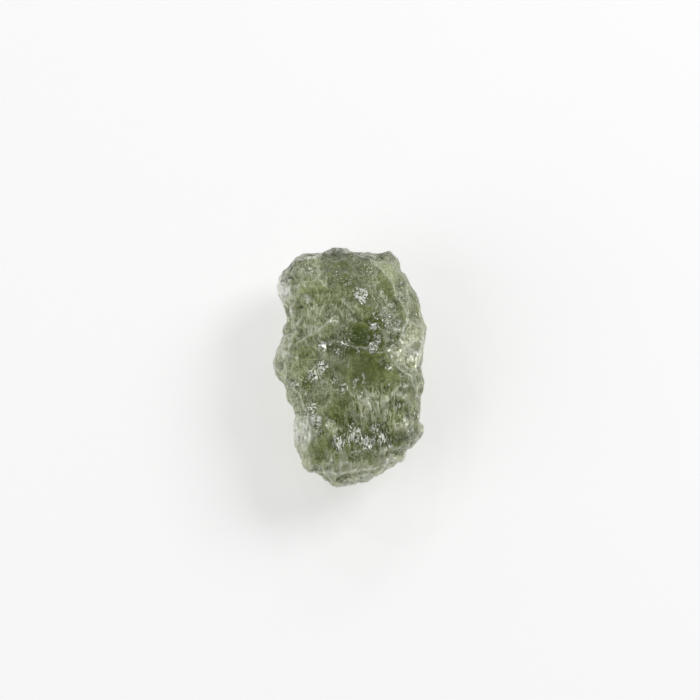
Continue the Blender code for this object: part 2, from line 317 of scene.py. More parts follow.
# Where a pale sheen is painted on smoother facets, and a painted glow where light comes through thin
# glass: (u, v), radius, strength.
SHEEN = [
    ((2.80, 4.20), 0.75, 0.80),  # right of the boss
    ((2.10, 6.60), 0.90, 0.50),
    ((3.40, 3.10), 0.60, 0.70),
    ((-0.90, 6.90), 0.55, 0.45),  # crown
    ((-2.50, 8.00), 0.60, 0.50),
    ((-2.20, 6.90), 0.55, 0.45),
    ((0.00, 3.50), 0.55, 0.80),  # below the boss
    ((-1.20, 3.30), 0.50, 0.80),
    ((-2.50, 2.60), 0.55, 0.90),  # along the ridge to its left
    ((-1.60, 2.10), 0.45, 0.90),
    ((-1.20, -1.50), 0.40, 0.80),  # under the left bowl
    ((-0.80, -0.90), 0.40, 0.60),
    ((0.90, -2.60), 0.45, 0.60),  # slope under the middle bowl
    ((4.30, -3.70), 0.40, 0.80),  # end of the bench
    ((-3.60, -2.90), 0.60, 0.60),  # left flank
    ((4.40, 1.30), 0.80, 2.60),  # painted glow in the hollow at the right
    ((-5.20, 5.70), 0.75, 3.30),  # painted glow on the thin edge of the upper left lobe
    ((-3.85, -4.70), 0.80, 3.60),  # painted glow on the thin part of the left flank
]

# The brow round the broad face, inside the rim: the flanks beyond it are smoother, and painted paler with
# a glow of light through the thin glass.
BROW = [
    (-4.80, 6.89),
    (-3.74, 7.87),
    (-2.09, 8.32),
    (-0.66, 8.77),
    (0.62, 8.32),
    (1.50, 7.95),
    (2.46, 7.11),
    (3.19, 5.90),
    (4.04, 4.20),
    (4.28, 3.24),
    (3.67, 2.03),
    (2.88, 1.09),
    (3.41, -0.01),
    (4.39, -0.61),
    (4.84, -1.77),
    (5.29, -2.90),
    (5.30, -4.95),
    (4.50, -5.80),
    (3.00, -6.05),
    (1.74, -6.29),
    (0.29, -6.17),
    (-1.18, -6.44),
    (-1.56, -7.27),
    (-2.76, -7.12),
    (-2.99, -5.91),
    (-2.76, -4.78),
    (-3.14, -3.43),
    (-3.82, -2.15),
    (-4.72, -0.87),
    (-4.67, 0.82),
    (-4.04, 2.60),
    (-4.01, 4.10),
    (-4.31, 5.91),
]

# The hollow under the boss, where the upper half steps down to the middle bowl; it is painted dark with
# painted shade.
HOLLOW = [
    (-1.90, 2.00),
    (-1.05, 2.75),
    (0.00, 2.95),
    (0.50, 3.15),
    (1.70, 3.55),
    (2.75, 3.95),
    (3.50, 3.65),
    (3.85, 3.05),
    (3.55, 2.15),
    (2.40, 1.15),
    (0.75, 1.05),
    (-0.60, 1.10),
    (-1.60, 1.15),
]
REGION_SOFTNESS = 0.25
REGION_SWING = 0.25  # how far the brow, the hollow and the ridges stray from their drawn lines
REGION_SWING_WIDTH = 1.2
SWING_OFFSETS = (0, 7, 13)  # where in the noise each axis takes its swing from
FLANK_KIND = (0.06, 0.1, -0.20)  # what the flanks add to frost, grain and painted shade: they take less shade, for a painted glow
HOLLOW_KIND = (-0.10, 0.1, 0.35)  # and what the hollow adds: chiefly painted shade

# Sharp ridges on the broad face: width, height, and the (u, v) that each runs through.
RIDGES = [
    (0.14, 0.12, [(-4.05, 2.90), (-3.40, 3.50)]),
    (0.15, 0.13, [(-3.95, 1.66), (-2.85, 2.27), (-2.01, 2.94), (-1.05, 3.72)]),
    (0.20, 0.11, [(5.20, 5.00), (5.45, 3.00), (5.20, 1.20), (4.90, -0.20)]),
    (0.24, 0.16, [(-0.35, 8.50), (0.60, 8.50), (1.90, 8.05)]),
    (0.24, 0.16, [(-1.10, 1.90), (0.30, 1.35), (1.90, 1.00), (3.10, 1.20)]),
    (0.20, 0.16, [(0.30, 5.80), (1.70, 5.30), (1.95, 4.40), (1.20, 3.80)]),
    (0.12, 0.10, [(-0.45, 4.95), (0.30, 4.10)]),
    (0.30, 0.18, [(-3.10, -7.60), (-0.60, -7.70), (1.80, -7.30), (3.60, -6.70)]),
    (0.18, 0.13, BROW + BROW[:1]),
]
LINE_WIDTH = 0.05  # of the painted highlight line along each ridge

# What counts as a crest: rounds of smoothing, and how far a point then stands out of the skin.
CRESTS = [(6, 0.035), (40, 0.10)]
GRID_CUTS = 119  # cuts along each side of the cube that the mesh is blown up from
RELIEF_SEED = 5

# The finish: widths of its patterns, and the steps of noise from which they show.
PATCH_WIDTH = 1.2 * MM
THREAD_WIDTH = 0.14 * MM
SPECK_WIDTH = 0.12 * MM
RING_WIDTH = 0.9 * MM
RING_THICKNESS = 0.018
FLAKE_WIDTH = 0.17 * MM
STRIP_WIDTH = 0.11 * MM
FINE_GLINT_WIDTH = 0.09 * MM
FLOW_TURN = (0, 0, math.radians(STRIA_LEAN))
FLOW_SCALE = (1, 0.22, 1)  # draws the threads and strips out along the flow lines
SPECK_STEP = (0.40, 0.62)
THREAD_STEP = (0.42, 0.60)
STREAK_STEP = (0.44, 0.56)
FINE_GLINT_STEP = (0.74, 0.78)
SPARK_STEP = (0.68, 0.73)
GLASS_IOR = 1.49
FROST_PASSING = 0.5  # share of the light that the frosted skin lets through
FROSTED_ROUGHNESS = 0.3
SHINE_ROUGHNESS = 0.2  # of the glints and sheens

# Settings that properties of a kind share.
COLOUR = {"subtype": "COLOR", "size": 3, "min": 0.0, "max": 1.0}
FACTOR = {"subtype": "FACTOR", "min": 0.0, "max": 1.0}


class StonePlan(bpy.types.PropertyGroup):
    """Sizes of the fine relief that a user would change."""

    pits: IntProperty(
        name="Pits",
        description="How many small round pits are etched into the skin",
        default=500,
        min=0,
        max=5000,
    )
    pit_least: FloatProperty(
        name="Smallest pit",
        description="Opening radius of the smallest pits",
        default=0.09 * MM,
        min=0.02 * MM,
        subtype="DISTANCE",
        unit="LENGTH",
    )
    pit_most: FloatProperty(
        name="Largest pit",
        description="Opening radius of the largest pits",
        default=0.22 * MM,
        min=0.05 * MM,
        subtype="DISTANCE",
        unit="LENGTH",
    )
    relief: FloatProperty(
        name="Relief",
        description="How strongly the whole fine relief is etched",
        default=1.4,
        min=0.0,
        max=3.0,
    )


class GlassPlan(bpy.types.PropertyGroup):
    """Colours and gloss of the glass, and the painted light and shade on its skin."""

    passed: FloatVectorProperty(
        name="Light passed",
        description="Colour that the glass lets through; the volume takes the rest",
        default=(0.515, 0.579, 0.0),
        **COLOUR,
    )
    density: FloatProperty(
        name="Absorption",
        description="How much light the glass takes for each metre",
        default=180.0,
        min=0.0,
    )
    # Painted shade: the colour that the clear skin takes in its hollows and other shaded places.
    painted_shade_colour: FloatVectorProperty(
        name="Deep tint",
        description="Tint of the clear skin in its hollows",
        default=(0.12, 0.16, 0.06),
        **COLOUR,
    )
    clear_colour: FloatVectorProperty(
        name="Clear skin",
        description="Tint of the skin where it is glossy",
        default=(0.64, 0.70, 0.46),
        **COLOUR,
    )
    frost_colour: FloatVectorProperty(
        name="Frosted skin",
        description="Tint of the skin where it is etched dull",
        default=(0.87, 0.90, 0.66),
        **COLOUR,
    )
    # Painted glow: the frosted skin's colour where light through thin glass is painted on it.
    painted_glow_colour: FloatVectorProperty(
        name="Thin skin",
        description="Tint of the dull skin where light comes through thin glass behind it",
        default=(0.87, 0.92, 0.58),
        **COLOUR,
    )
    # The colour of the painted glints, sheens, haze and ridge highlights.
    shine: FloatVectorProperty(
        name="Shine",
        description="Colour of the glints and sheens",
        default=(0.96, 0.98, 0.91),
        **COLOUR,
    )
    # Painted glow: the colour of the sheens painted over thin glass.
    painted_glow_shine: FloatVectorProperty(
        name="Thin shine",
        description="Colour of the sheens over thin glass",
        default=(0.96, 0.99, 0.80),
        **COLOUR,
    )
    # Strength of the painted glints.
    glitter: FloatProperty(
        name="Glitter",
        description="How white the glints in the glittering places are",
        default=0.95,
        **FACTOR,
    )
    facets: FloatProperty(
        name="Facets",
        description="How far the glints mirror the lamps",
        default=0.4,
        **FACTOR,
    )
    # Strength of the painted haze, which stands for the room's reflection on the grainy skin.
    painted_bloom: FloatProperty(
        name="Bloom",
        description="How white the haze is where the skin is grainy",
        default=1.2,
        min=0.0,
    )
    # Strength of the painted highlight along the sharp ridges.
    ridge_highlight: FloatProperty(
        name="Wear",
        description="How pale the sharp ridges are worn",
        default=0.35,
        **FACTOR,
    )
    # Strength of the painted sheen on the smoother facets.
    sheen: FloatProperty(
        name="Sheen",
        description="How white the smoother facets shine",
        default=0.12,
        **FACTOR,
    )
    clear_roughness: FloatProperty(
        name="Clear roughness",
        description="Roughness where the skin is glossy",
        default=0.06,
        **FACTOR,
    )
    frost_roughness: FloatProperty(
        name="Frosted roughness",
        description="Roughness of the clear glass where it is etched dull",
        default=0.28,
        **FACTOR,
    )
    grain: FloatProperty(
        name="Grain depth",
        description="Depth of the finest grain, which is a bump and not in the mesh",
        default=0.04 * MM,
        min=0.0,
        subtype="DISTANCE",
        unit="LENGTH",
        precision=6,
    )


class StagePlan(bpy.types.PropertyGroup):
    """The table, the lights and the camera."""

    table_colour: FloatVectorProperty(
        name="Table",
        description="Colour of the table",
        default=(0.84, 0.84, 0.84),
        **COLOUR,
    )
    table_glow: FloatProperty(
        name="Glow",
        description="Light that comes up through the table",
        default=0.40,
        min=0.0,
    )
    sky: FloatProperty(
        name="Room light",
        description="Strength of the even white light",
        default=0.26,
        min=0.0,
    )
    horizon: FloatProperty(
        name="Low light",
        description="Light added near the horizon",
        default=0.5,
        min=0.0,
    )
    patch: FloatProperty(
        name="Patch",
        description="How much darker it is overhead",
        default=0.8,
        **FACTOR,
    )
    right_power: FloatProperty(
        name="Right lamp",
        description="Power of the soft box at the upper right",
        default=0.42,
        min=0.0,
        unit="POWER",
    )
    left_power: FloatProperty(
        name="Left lamp",
        description="Power of the soft box at the lower left",
        default=0.36,
        min=0.0,
        unit="POWER",
    )
    glint_power: FloatProperty(
        name="Glint lamps",
        description="Power of each small lamp behind the stone",
        default=0.035,
        min=0.0,
        unit="POWER",
    )
    lens: FloatProperty(
        name="Lens",
        description="Focal length of the camera in millimetres",
        default=150.0,
        min=1.0,
        unit="CAMERA",
    )


def rim_reach(angle):
    """How far the rim lies from the core at an angle about it, its corners rounded a little."""
    points = sorted((math.atan2(v, u), math.hypot(u, v)) for u, v in RIM)
    angles, lengths = np.array(points).T
    grid = np.linspace(-math.pi, math.pi, RIM_STEPS, endpoint=False)
    even = np.interp(grid, angles, lengths, period=math.tau)
    width = math.radians(RIM_ROUNDING)
    turn = np.minimum(np.abs(grid - grid[0]), math.tau - np.abs(grid - grid[0]))
    weight = np.exp(-0.5 * (turn / width) ** 2)
    smooth = np.fft.irfft(np.fft.rfft(even) * np.fft.rfft(weight / weight.sum()), RIM_STEPS)
    return np.interp(angle, grid, smooth, period=math.tau)


def blank_gap(points):
    """How far each point lies outside the blank: a slab with the rim, flat in front and rounder behind."""
    rim = rim_reach(np.arctan2(points[:, 1], points[:, 0]))
    up = points[:, 2] + RIM_SLOPE * points[:, 1]
    power = np.where(up > 0, FACE_SQUARENESS, BACK_SQUARENESS)
    height = np.where(up > 0, FACE_HEIGHT, BACK_DEPTH)
    across = np.hypot(points[:, 0], points[:, 1]) / rim
    rise = np.abs(up) / height
    size = (across**power + rise**power) ** (1 / power)
    slope = np.hypot((across / size) ** (power - 1) / rim, (rise / size) ** (power - 1) / height)
    return (size - 1) / slope


def soft_least(a, b, blend):
    """The smaller of two gaps, with the corner between them rounded."""
    share = np.clip(0.5 + 0.5 * (b - a) / blend, 0, 1)
    return b + (a - b) * share - blend * share * (1 - share)


def swayed(points):
    """The points moved a little this way and that, so that no lump or scoop comes out round."""
    draw = np.random.default_rng(FORM_SEED)
    shift = np.zeros((len(points), 3))
    for _ in range(SWAY_WAVES):
        waves = draw.normal(0, 1 / SWAY_WIDTH, (3, 3))
        shift += np.sin(points @ waves + draw.uniform(0, math.tau, 3))
    return points + SWAY * shift


def ball_over(gap, site, radius, height):
    """A ball whose middle stands over the skin nearest a site by that height."""
    point = np.array(site, float)
    for _ in range(SITE_STEPS):
        far, *steps = gap(point + PROBE * np.vstack([np.zeros(3), np.eye(3)]))
        normal = np.array(steps) - far
        normal /= np.linalg.norm(normal)
        point = point - far * normal
    return swayed(point[None])[0] + height * normal, radius


def strewn_scoops():
    """Sites spread over the flanks and the underside on a spiral, each shifted a little."""
    draw = np.random.default_rng(FORM_SEED)
    golden = math.pi * (3 - math.sqrt(5))
    wide, long, tall = STREWN_OVER
    scoops = []
    for i in range(STREWN_SCOOPS):
        height = 1 - 2 * (i + 0.5) / STREWN_SCOOPS
        turn = i * golden + draw.normal(0, STREWN_TURN)
        level = math.sqrt(1 - height**2)
        site = np.array([wide * level * math.cos(turn), long * level * math.sin(turn), tall * height])
        site += draw.normal(0, STREWN_SHIFT, 3)
        opening = draw.uniform(*STREWN_RADIUS)
        depth = opening * draw.uniform(*STREWN_DEPTH_SHARE)
        lean = site[2] / np.linalg.norm(site) + RIM_SLOPE * site[1] / np.linalg.norm(site)
        if lean < STREWN_BELOW:
            scoops.append((site, opening, depth))
    return scoops


def wavy(points, widths_and_heights):
    """Height of soft noise of the given widths at each point."""
    height = np.zeros(len(points))
    for width, size in widths_and_heights:
        height += [size * noise.noise(Vector(p) / width) for p in points]
    return height


def trued_rim(points):
    """Moves the flanks in or out until the outline, seen square to the broad face, is the rim again."""
    angle = np.arctan2(points[:, 1], points[:, 0])
    share = np.hypot(points[:, 0], points[:, 1]) / rim_reach(angle)
    slots = np.linspace(-math.pi, math.pi, RIM_SLOTS, endpoint=False)
    slot = np.round((angle + math.pi) / math.tau * RIM_SLOTS).astype(int) % RIM_SLOTS
    most = np.zeros(RIM_SLOTS)
    np.maximum.at(most, slot, share)
    met = most > 0
    grow = 1 / np.interp(slots, slots[met], most[met], period=math.tau)
    for _ in range(2):
        grow = (np.roll(grow, 1) + 2 * grow + np.roll(grow, -1)) / 4
    edge = np.clip((share - TRUED_FROM) / TRUED_OVER, 0, 1)
    scale = 1 + (np.interp(angle, slots, grow, period=math.tau) - 1) * edge
    return points * np.stack([scale, scale, np.ones(len(points))], 1)


def joined(gap, points, balls):
    """The gap once balls are fused on."""
    bent = swayed(points)
    for centre, radius in balls:
        gap = soft_least(gap, np.linalg.norm(bent - centre, axis=1) - radius, LUMP_BLEND)
    return gap


def stone_points(starts, rays):
    """The main form in the face frame: each point comes in along its ray until it meets the skin."""
    lumps = [ball_over(blank_gap, site, radius, proud - radius) for site, radius, proud in LUMPS]

    def lumpy_gap(points):
        return joined(blank_gap(points), points, lumps)

    bosses = [ball_over(lumpy_gap, site, radius, proud - radius) for site, radius, proud in BOSSES]
    scoops = []
    for site, opening, depth in FACE_SCOOPS + strewn_scoops():
        radius = (opening**2 + depth**2) / (2 * depth)
        scoops.append(ball_over(lumpy_gap, site, radius, radius - depth))

    points = starts + OUTSIDE * rays
    for _ in range(STEPS):
        points -= rays * lumpy_gap(points)[:, None]
    bent = swayed(points)
    near = [
        np.flatnonzero(np.linalg.norm(bent - centre, axis=1) < radius + NEAR_SCOOP)
        for centre, radius in scoops
    ]
    points += rays
    for _ in range(STEPS):
        gap = lumpy_gap(points)
        bent = swayed(points)
        for (centre, radius), part in zip(scoops, near):
            hole = radius - np.linalg.norm(bent[part] - centre, axis=1)
            gap[part] = -soft_least(-gap[part], -hole, SCOOP_BLEND)
        points -= rays * joined(gap, points, bosses)[:, None]
    return trued_rim(points + rays * wavy(points, SWELLS)[:, None])


def on_face(points):
    """1 on the side of the broad face, falling to 0 below the rim."""
    return np.clip(1 + (points[:, 2] + RIM_SLOPE * points[:, 1]) / UNDER_FADE, 0, 1)


def spots(points, places):
    """How strongly each point lies in the places listed, with soft edges: 0 outside them all."""
    share = np.zeros(len(points))
    for centre, radius, strength in places:
        far = np.linalg.norm(points[:, :2] - centre, axis=1) / radius
        share = np.maximum(share, strength * np.exp(-(far**4)))
    return share * on_face(points)


def skin_kind(points):
    """The frost, the grain and the depth of painted shade of each point, from the places that it lies in
    or between.
    """
    *kind, weight = ELSEWHERE
    total = np.full(len(points), weight)
    kind = weight * np.tile(kind, (len(points), 1))
    for centre, radius, *here in PLACES:
        far = np.linalg.norm(points[:, :2] - centre, axis=1) / radius
        near = PLACE_WEIGHT * np.exp(-PLACE_FALL * far**2) * on_face(points)
        kind += np.outer(near, here)
        total += near
    return (kind / total[:, None]).T


def inside(points, outline):
    """1 inside an outline on the broad face, falling to 0 outside it over a soft edge."""
    u, v = points[:, :2].T
    corners = np.array(outline)
    within = np.zeros(len(points), bool)
    for start, end in zip(corners, np.roll(corners, -1, axis=0)):
        crosses = (start[1] > v) != (end[1] > v)
        level = (v - start[1]) / (end[1] - start[1])
        within ^= crosses & (u < start[0] + level * (end[0] - start[0]))
    far = from_path(points, outline + outline[:1])
    return np.clip(0.5 + np.where(within, far, -far) / REGION_SOFTNESS, 0, 1)


def from_path(points, path):
    """How far each point lies from a path of straight steps, seen square to the face."""
    far = np.full(len(points), np.inf)
    for start, end in zip(np.array(path), np.array(path[1:])):
        step = end - start
        along = np.clip((points[:, :2] - start) @ step / (step @ step), 0, 1)
        far = np.minimum(far, np.linalg.norm(points[:, :2] - start - np.outer(along, step), axis=1))
    return far


def ridged(points):
    """Height of the sharp ridges, and how much of the painted highlight line along them each point has."""
    height = np.zeros(len(points))
    line = np.zeros(len(points))
    for width, tall, path in RIDGES:
        far = from_path(points, path)
        height = np.maximum(height, tall * np.exp(-far / width))
        line = np.maximum(line, np.exp(-((far / LINE_WIDTH) ** 2)))
    return height * on_face(points), line * on_face(points)


def scalloped(points):
    """Round hollows that meet in sharp creases, cell by cell."""
    height = np.zeros(len(points))
    for width, size in SCALLOPS:
        near = np.array([noise.voronoi(Vector(p) / width)[0][0] for p in points])
        height += size * (near**2 - SCALLOP_LEVEL)
    return height


def striated(points):
    """Flow lines: ripples drawn out along one direction."""
    lean = math.radians(STRIA_LEAN)
    across = points[:, 0] * math.cos(lean) + points[:, 1] * math.sin(lean)
    along = points[:, 1] * math.cos(lean) - points[:, 0] * math.sin(lean)
    drawn = np.stack([across, along / STRIA_STRETCH, points[:, 2]], 1) / STRIA_SPACING
    return np.array([STRIA_HEIGHT * noise.noise(Vector(p)) for p in drawn])


def etch_pits(points, plan):
    """Depth of the small round pits at each point."""
    draw = np.random.default_rng(RELIEF_SEED)
    tree = kdtree.KDTree(len(points))
    for i, point in enumerate(points):
        tree.insert(point, i)
    tree.balance()
    depth = np.zeros(len(points))
    least = plan.pit_least / MM
    most = plan.pit_most / MM
    for centre in draw.integers(0, len(points), plan.pits):
        opening = least + (most - least) * draw.random() ** 2
        deep = opening * draw.uniform(*PIT_DEPTH_SHARE)
        for _, i, far in tree.find_range(points[centre], opening):
            depth[i] = max(depth[i], deep * (1 - (far / opening) ** 2))
    return depth


def blown_cube(bm, cuts):
    """A cube with a grid on each side, and each point's start in the core and ray out of it."""
    bmesh.ops.create_cube(bm, size=2)
    bmesh.ops.subdivide_edges(bm, edges=bm.edges[:], cuts=cuts, use_grid_fill=True)
    grid = np.array([v.co for v in bm.verts])
    rays = np.tan(grid * math.pi / 4)
    rays /= np.linalg.norm(rays, axis=1)[:, None]
    return rays * CORE, rays


def move_verts(bm, points):
    """Puts the mesh's points where they are to be."""
    for vert, point in zip(bm.verts, points):
        vert.co = point
    bm.normal_update()


def ridge_share(bm):
    """How far each point stands out of its neighbours, as a share of the distance to them."""
    share = []
    for vert in bm.verts:
        around = [e.other_vert(vert).co for e in vert.link_edges]
        middle = sum(around, Vector()) / len(around)
        spread = sum((p - middle).length for p in around) / len(around)
        share.append((vert.co - middle).dot(vert.normal) / spread)
    return np.array(share)


def standing_out(bm, rounds):
    """How far each point stands out of the skin around it, in millimetres: under 0 in hollows."""
    ends = np.array([[v.index for v in edge.verts] for edge in bm.edges])
    here, there = np.concatenate([ends, ends[:, ::-1]]).T
    count = np.bincount(here)
    points = np.array([v.co for v in bm.verts])
    smooth = points.copy()
    for _ in range(rounds):
        smooth = np.stack([np.bincount(here, smooth[there, k]) / count for k in range(3)], 1)
    normals = np.array([v.normal for v in bm.verts])
    return np.einsum("ij,ij->i", points - smooth, normals)


def etched_skin(bm, plan):
    """Etches the fine relief into the main form, and returns what the finish reads at each point."""
    points = np.array([v.co for v in bm.verts])
    normals = np.array([v.normal for v in bm.verts])
    waves = [wavy(points + offset, [(REGION_SWING_WIDTH, 1.0)]) for offset in SWING_OFFSETS]
    swing = points + REGION_SWING * np.stack(waves, 1)
    flank = 1 - inside(swing, BROW)
    hollow = inside(swing, HOLLOW) * on_face(points)
    kind = skin_kind(points) + np.outer(FLANK_KIND, flank) + np.outer(HOLLOW_KIND, hollow)
    frost, grain, painted_shade = np.clip(kind, 0, 1)
    stria = spots(points, STRIATED)
    everywhere, more = RELIEF_SHARE
    height = (scalloped(points) + wavy(points, GRAINS)) * (everywhere + more * grain)
    height += striated(points) * np.maximum(stria, STRIATED_ELSEWHERE)
    height -= etch_pits(points, plan) * grain
    tall, line = ridged(swing)
    height += tall
    move_verts(bm, points + normals * (plan.relief * height)[:, None])
    out = np.hypot(points[:, 0], points[:, 1]) / rim_reach(np.arctan2(points[:, 1], points[:, 0]))
    frost += THIN_EDGE_GLOW * np.clip((out - EDGE_FROM) / EDGE_OVER, 0, 1)
    crests = [np.clip(standing_out(bm, rounds) / full, -1, 1) for rounds, full in CRESTS]
    return {
        "frost": frost,
        "grain": grain,
        "painted_shade": painted_shade,
        "glitter": spots(points, GLITTER),
        "sheen": spots(points, SHEEN),
        "stria": stria,
        "line": line,
        "ridge": np.clip(ridge_share(bm), -1, 1),
        "crest": sum(crests),
    }


def set_down(bm):
    """Tips the stone back, moves it into the solid's box and takes off its flat at z = 0.

    Returns the matrix that takes the face frame, in millimetres, to where the stone lies, in metres."""
    turn = Matrix.Rotation(math.radians(LIE_TILT), 4, "X") @ Matrix.Scale(MM, 4)
    bmesh.ops.transform(bm, matrix=turn, verts=bm.verts[:])
    low = Vector([min(v.co[k] for v in bm.verts) for k in range(3)])
    high = Vector([max(v.co[k] for v in bm.verts) for k in range(3)])
    box_low, box_high = STONE_BOX
    shift = (box_low + box_high) / 2 - (low + high) / 2
    shift.z = box_high.z - high.z
    bmesh.ops.translate(bm, verts=bm.verts[:], vec=shift)
    cut = bmesh.ops.bisect_plane(
        bm,
        geom=bm.verts[:] + bm.edges[:] + bm.faces[:],
        dist=1e-7,
        plane_co=(0, 0, 0),
        plane_no=(0, 0, -1),
        clear_outer=True,
    )
    edges = [e for e in cut["geom_cut"] if isinstance(e, bmesh.types.BMEdge)]
    bmesh.ops.triangle_fill(bm, edges=edges, normal=(0, 0, -1), use_beauty=True)
    bmesh.ops.recalc_face_normals(bm, faces=bm.faces[:])
    return Matrix.Translation(shift) @ turn


class Value:
    """A node's output. Plain arithmetic on it adds the Math nodes that do it."""

    def __init__(self, tree, output):
        self.tree = tree
        self.output = output

    def math(self, operation, first, second):
        return self.tree.add("ShaderNodeMath", {"operation": operation}, {0: first, 1: second})

    def __add__(self, other):
        return self.math("ADD", self, other)

    def __sub__(self, other):
        return self.math("SUBTRACT", self, other)

    def __rsub__(self, other):
        return self.math("SUBTRACT", other, self)

    def __mul__(self, other):
        return self.math("MULTIPLY", self, other)

    __radd__ = __add__
    __rmul__ = __mul__

    def line(self, width):
        """1 where noise passes its middle, falling to 0 where it is further from it than width."""
        return self.math("ABSOLUTE", self - 0.5, 0.0).between(width, 0.0)

    def between(self, low, high):
        """0 below low, 1 above high, and a soft step from one to the other."""
        settings = {"interpolation_type": "SMOOTHSTEP"}
        inputs = {"Value": self, "From Min": low, "From Max": high}
        return self.tree.add("ShaderNodeMapRange", settings, inputs)


class Tree:
    """A material's node tree, to which one method adds every node."""

    def __init__(self, owner):
        owner.use_nodes = True
        self.nodes = owner.node_tree.nodes
        self.links = owner.node_tree.links
        self.nodes.clear()

    def add(self, kind, settings=None, inputs=None, output=0):
        node = self.nodes.new(kind)
        for name, value in (settings or {}).items():
            setattr(node, name, value)
        for name, value in (inputs or {}).items():
            if isinstance(value, Value):
                self.links.new(value.output, node.inputs[name])
            else:
                node.inputs[name].default_value = value
        return Value(self, node.outputs[output]) if node.outputs else node

    def noise(self, place, width, detail=3.0, roughness=0.5):
        """Soft noise about 0.5, whose lumps are about width across."""
        inputs = {"Vector": place, "Scale": 1 / width, "Detail": detail, "Roughness": roughness}
        return self.add("ShaderNodeTexNoise", None, inputs, "Fac")

    def blend(self, share, first, second):
        """One colour turning into another, in a Mix node's colour sockets."""
        inputs = {0: share, 6: (*first, 1), 7: (*second, 1)}
        return self.add("ShaderNodeMix", {"data_type": "RGBA"}, inputs, 2)

    def surface(self, colour, roughness, normal, extra):
        """A surface of the glass, with what else it has beside its colour and roughness."""
        inputs = {"Base Color": colour, "Roughness": roughness, "IOR": GLASS_IOR, "Normal": normal}
        return self.add("ShaderNodeBsdfPrincipled", None, inputs | extra)


def glass(plan):
    """See-through green glass with a skin that is glossy in places and frosted in others, with painted
    glints, sheens, haze, highlights, shade and glow.
    """
    material = bpy.data.materials.new("moldavite_glass_skin")
    tree = Tree(material)
    place = tree.add("ShaderNodeTexCoord", output="Object")
    frost, grain, painted_shade, glitter, sheen, stria, line, ridge, crest = (
        tree.add("ShaderNodeAttribute", {"attribute_name": name}, output="Fac")
        for name in ("frost", "grain", "painted_shade", "glitter", "sheen", "stria", "line", "ridge", "crest")
    )
    patches = tree.noise(place, PATCH_WIDTH, 4.0)
    flow = {"Vector": place, "Rotation": FLOW_TURN, "Scale": FLOW_SCALE}
    drawn = tree.add("ShaderNodeMapping", None, flow, "Vector")
    threads = tree.noise(drawn, THREAD_WIDTH, 3.0, 0.6)
    specks = tree.noise(place, SPECK_WIDTH, 3.0, 0.7)
    rings = tree.noise(place, RING_WIDTH, 3.0, 0.6).line(RING_THICKNESS)
    flakes = tree.noise(place, FLAKE_WIDTH, 2.0, 0.7)
    strips = tree.noise(drawn, STRIP_WIDTH, 2.0, 0.7)
    fine_glint_noise = tree.noise(place, FINE_GLINT_WIDTH, 1.0)

    # How far the skin stands up, and how its patterns break it up.
    stand = crest * 0.35 + ridge * 0.5 + (patches - 0.5) + 1.0
    texture = specks.between(*SPECK_STEP) * 0.35 + threads.between(*THREAD_STEP) * 0.35 + rings * 0.8
    streaks = threads.between(*STREAK_STEP) - 0.5

    # The frost is thicker on the crests and thinner in the hollows, as painted light and shade of the
    # relief, and drawn into streaks along the flow lines; it thins where glints are painted.
    uneven = (stand - 1.0) * (grain * 0.8 + 0.2) + (texture - 0.4) * (grain * 1.6 + 0.8)
    uneven = uneven + streaks * stria * 2.4
    veil = frost * (uneven + 1.0) * (1.0 - grain * 0.4) * (1.0 - glitter * 0.8)
    dull = (frost * stand * 1.5).between(0.0, 1.0)

    # Painted light: a pale haze for the room's reflection on the grainy skin, highlight lines along the
    # ridges, sheens and glows, and the glints with fine glints strewn among them.
    haze = frost * stand * texture * grain * plan.painted_bloom * (1.0 - glitter * 0.7) * (1.0 - stria * 0.3)
    painted_bloom = haze + line * (texture + 0.3) * plan.ridge_highlight + sheen * (texture * 1.6 + 0.3) * plan.sheen
    glints = flakes + (strips - flakes) * stria * 0.8
    # Fine painted glints, strewn everywhere.
    fine_glints = (fine_glint_noise + grain * 0.10).between(*FINE_GLINT_STEP) * 0.8
    sparks = (glints + glitter * 0.24).between(*SPARK_STEP) + fine_glints

    # Painted shade deepens the clear skin in its hollows and between the glints, and painted light makes
    # it paler on its crests; the frosted skin and the shine take a painted glow over thin glass.
    pale = texture * 0.45 + crest * 0.22 + 0.6 - painted_shade * 0.75 - glitter * (1.4 - glints * 2.0)
    no_glow = (painted_shade * 3.0 + (patches - 0.4) * 3.0).between(0.0, 1.0)
    height = (specks + threads * 0.6 + rings * 0.25) * grain
    bump = {"Strength": 1.0, "Distance": plan.grain, "Height": height}
    normal = tree.add("ShaderNodeBump", None, bump, "Normal")

    clear_colour = tree.blend(pale.between(0.0, 1.0), plan.painted_shade_colour, plan.clear_colour)
    clear_roughness = dull * (plan.frost_roughness - plan.clear_roughness) + plan.clear_roughness
    clear = tree.surface(clear_colour, clear_roughness, normal, {"Transmission Weight": 1.0})
    frost_colour = tree.blend(no_glow, plan.painted_glow_colour, plan.frost_colour)
    frosted = tree.surface(frost_colour, FROSTED_ROUGHNESS, normal, {"Transmission Weight": FROST_PASSING})
    shine_colour = tree.blend(no_glow, plan.painted_glow_shine, plan.shine)
    shiny = tree.surface(shine_colour, SHINE_ROUGHNESS, normal, {"Metallic": plan.facets})

    body = tree.add("ShaderNodeMixShader", None, {0: veil, 1: clear, 2: frosted})
    # The white share paints the glints, haze, ridge highlights and sheens; the shiny surface's metal share
    # mirrors the lamps as well.
    white = sparks * plan.glitter + painted_bloom
    skin = tree.add("ShaderNodeMixShader", None, {0: white, 1: body, 2: shiny})
    taken = {"Color": (*plan.passed, 1), "Density": plan.density}
    volume = tree.add("ShaderNodeVolumeAbsorption", None, taken)
    tree.add("ShaderNodeOutputMaterial", None, {"Surface": skin, "Volume": volume})
    return material


